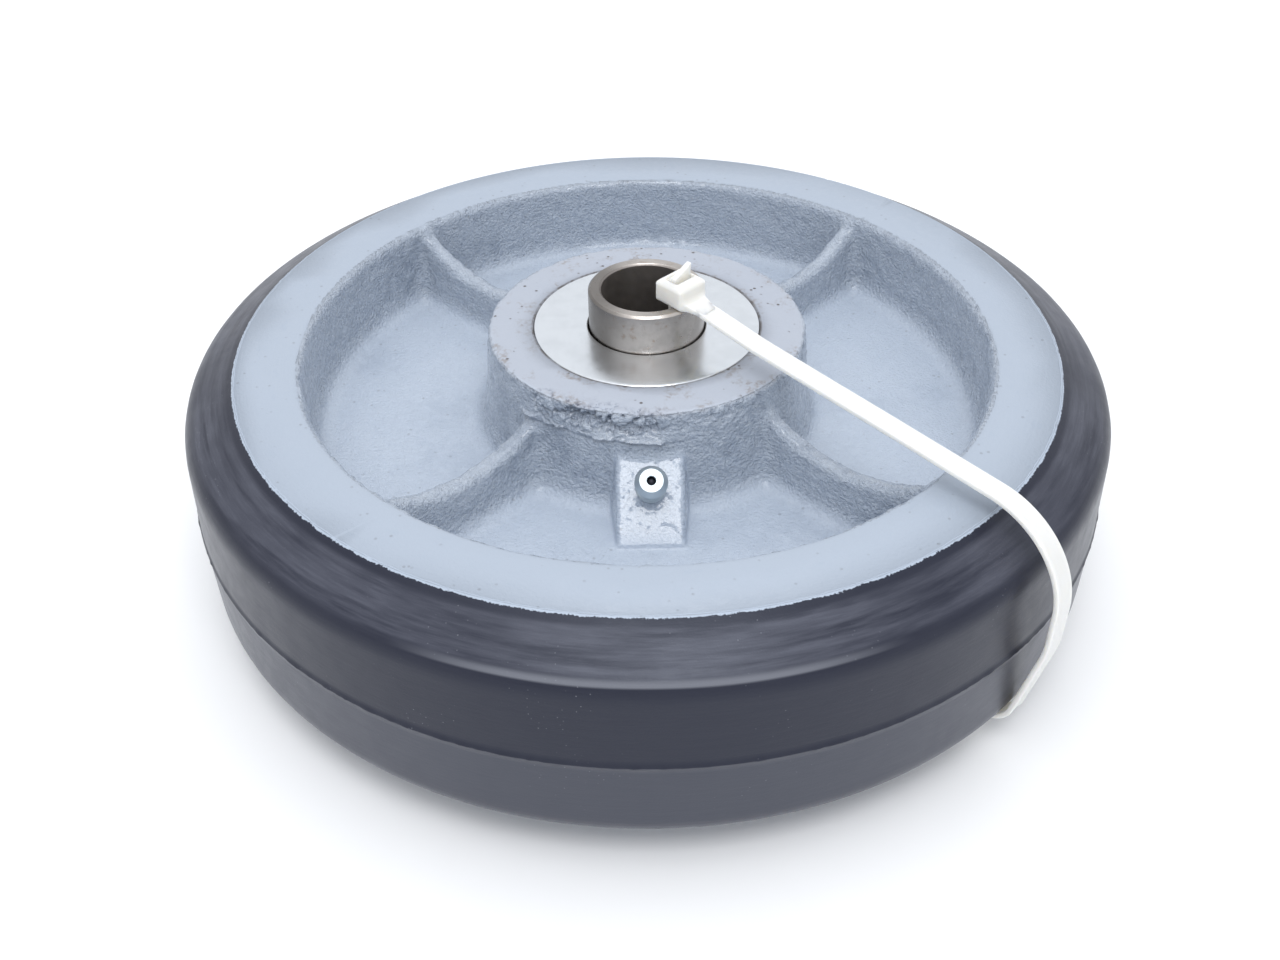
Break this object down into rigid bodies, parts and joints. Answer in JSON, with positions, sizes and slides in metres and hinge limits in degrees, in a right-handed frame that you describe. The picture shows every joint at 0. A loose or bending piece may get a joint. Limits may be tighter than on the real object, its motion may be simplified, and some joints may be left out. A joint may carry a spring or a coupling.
{
  "type": "caster wheel",
  "caption": "Industrial caster wheel: ribbed cast-iron core, moulded rubber tyre, roller bearing on a protruding spanner bushing, retaining washers, angled grease fitting and shipping tie.",
  "frame": {"origin": "centre of the wheel: on the axle's axis, midway between the two rim faces", "axes": "+Z along the axle towards the face with the grease fitting, -Y towards the grease fitting, wheel lying flat"},
  "size_m": [0.2038, 0.2038, 0.076],
  "materials": {
    "painted_iron": "glossy light blue-grey paint over as-cast and machined iron",
    "tyre_rubber": "matte to satin moulded rubber",
    "zinc_steel": "bright zinc plate",
    "turned_steel": "turned steel, lightly oiled",
    "cage_steel": "stamped steel",
    "roller_steel": "ground steel",
    "plated_fitting": "zinc plate",
    "natural_nylon": "natural translucent nylon"
  },
  "bodies": {
    "wheel": {"wheel_core": "painted_iron", "rubber_tyre": "tyre_rubber", "retaining_washer_upper": "zinc_steel", "retaining_washer_lower": "zinc_steel", "grease_fitting_body": "plated_fitting", "grease_fitting_spring": "roller_steel", "cable_tie": "natural_nylon"},
    "bushing": {"spanner_bushing": "turned_steel"},
    "roller_cage": {"cage_ring_upper": "cage_steel", "cage_ring_lower": "cage_steel", "cage_bars": "cage_steel"},
    "check_ball": {"grease_fitting_ball": "roller_steel"},
    "roller_01_body": {"roller_01": "roller_steel"},
    "roller_02_body": {"roller_02": "roller_steel"},
    "roller_03_body": {"roller_03": "roller_steel"},
    "roller_04_body": {"roller_04": "roller_steel"},
    "roller_05_body": {"roller_05": "roller_steel"},
    "roller_06_body": {"roller_06": "roller_steel"},
    "roller_07_body": {"roller_07": "roller_steel"},
    "roller_08_body": {"roller_08": "roller_steel"},
    "roller_09_body": {"roller_09": "roller_steel"},
    "roller_10_body": {"roller_10": "roller_steel"},
    "roller_11_body": {"roller_11": "roller_steel"},
    "roller_12_body": {"roller_12": "roller_steel"}
  },
  "joints": [
    {"name": "bushing_spin", "type": "hinge", "parent": "wheel", "child": "bushing", "pos_m": [0, 0, 0], "axis": [0, 0, 1], "continuous": true},
    {"name": "cage_spin", "type": "hinge", "parent": "wheel", "child": "roller_cage", "pos_m": [0, 0, 0], "axis": [0, 0, 1], "continuous": true},
    {"name": "roller_01_spin", "type": "hinge", "parent": "roller_cage", "child": "roller_01_body", "pos_m": [0.01588, 0, 0], "axis": [0, 0, 1], "continuous": true},
    {"name": "roller_02_spin", "type": "hinge", "parent": "roller_cage", "child": "roller_02_body", "pos_m": [0.01375, 0.00794, 0], "axis": [0, 0, 1], "continuous": true},
    {"name": "roller_03_spin", "type": "hinge", "parent": "roller_cage", "child": "roller_03_body", "pos_m": [0.00794, 0.01375, 0], "axis": [0, 0, 1], "continuous": true},
    {"name": "roller_04_spin", "type": "hinge", "parent": "roller_cage", "child": "roller_04_body", "pos_m": [0, 0.01588, 0], "axis": [0, 0, 1], "continuous": true},
    {"name": "roller_05_spin", "type": "hinge", "parent": "roller_cage", "child": "roller_05_body", "pos_m": [-0.00794, 0.01375, 0], "axis": [0, 0, 1], "continuous": true},
    {"name": "roller_06_spin", "type": "hinge", "parent": "roller_cage", "child": "roller_06_body", "pos_m": [-0.01375, 0.00794, 0], "axis": [0, 0, 1], "continuous": true},
    {"name": "roller_07_spin", "type": "hinge", "parent": "roller_cage", "child": "roller_07_body", "pos_m": [-0.01588, 0, 0], "axis": [0, 0, 1], "continuous": true},
    {"name": "roller_08_spin", "type": "hinge", "parent": "roller_cage", "child": "roller_08_body", "pos_m": [-0.01375, -0.00794, 0], "axis": [0, 0, 1], "continuous": true},
    {"name": "roller_09_spin", "type": "hinge", "parent": "roller_cage", "child": "roller_09_body", "pos_m": [-0.00794, -0.01375, 0], "axis": [0, 0, 1], "continuous": true},
    {"name": "roller_10_spin", "type": "hinge", "parent": "roller_cage", "child": "roller_10_body", "pos_m": [0, -0.01588, 0], "axis": [0, 0, 1], "continuous": true},
    {"name": "roller_11_spin", "type": "hinge", "parent": "roller_cage", "child": "roller_11_body", "pos_m": [0.00794, -0.01375, 0], "axis": [0, 0, 1], "continuous": true},
    {"name": "roller_12_spin", "type": "hinge", "parent": "roller_cage", "child": "roller_12_body", "pos_m": [0.01375, -0.00794, 0], "axis": [0, 0, 1], "continuous": true},
    {"name": "check_ball_travel", "type": "slide", "parent": "wheel", "child": "check_ball", "axis": [-0.0102, 0.6514, -0.7587], "range_m": [0, 0.0008], "stiffness_N_per_m": 120, "springref_m": -0.0006, "deforming": ["grease_fitting_spring"]}
  ],
  "couplings": [
    {"joint": "cage_spin", "follows": "bushing_spin", "ratio": 0.4},
    {"joint": "roller_01_spin", "follows": "bushing_spin", "ratio": -2.4},
    {"joint": "roller_02_spin", "follows": "bushing_spin", "ratio": -2.4},
    {"joint": "roller_03_spin", "follows": "bushing_spin", "ratio": -2.4},
    {"joint": "roller_04_spin", "follows": "bushing_spin", "ratio": -2.4},
    {"joint": "roller_05_spin", "follows": "bushing_spin", "ratio": -2.4},
    {"joint": "roller_06_spin", "follows": "bushing_spin", "ratio": -2.4},
    {"joint": "roller_07_spin", "follows": "bushing_spin", "ratio": -2.4},
    {"joint": "roller_08_spin", "follows": "bushing_spin", "ratio": -2.4},
    {"joint": "roller_09_spin", "follows": "bushing_spin", "ratio": -2.4},
    {"joint": "roller_10_spin", "follows": "bushing_spin", "ratio": -2.4},
    {"joint": "roller_11_spin", "follows": "bushing_spin", "ratio": -2.4},
    {"joint": "roller_12_spin", "follows": "bushing_spin", "ratio": -2.4}
  ]
}
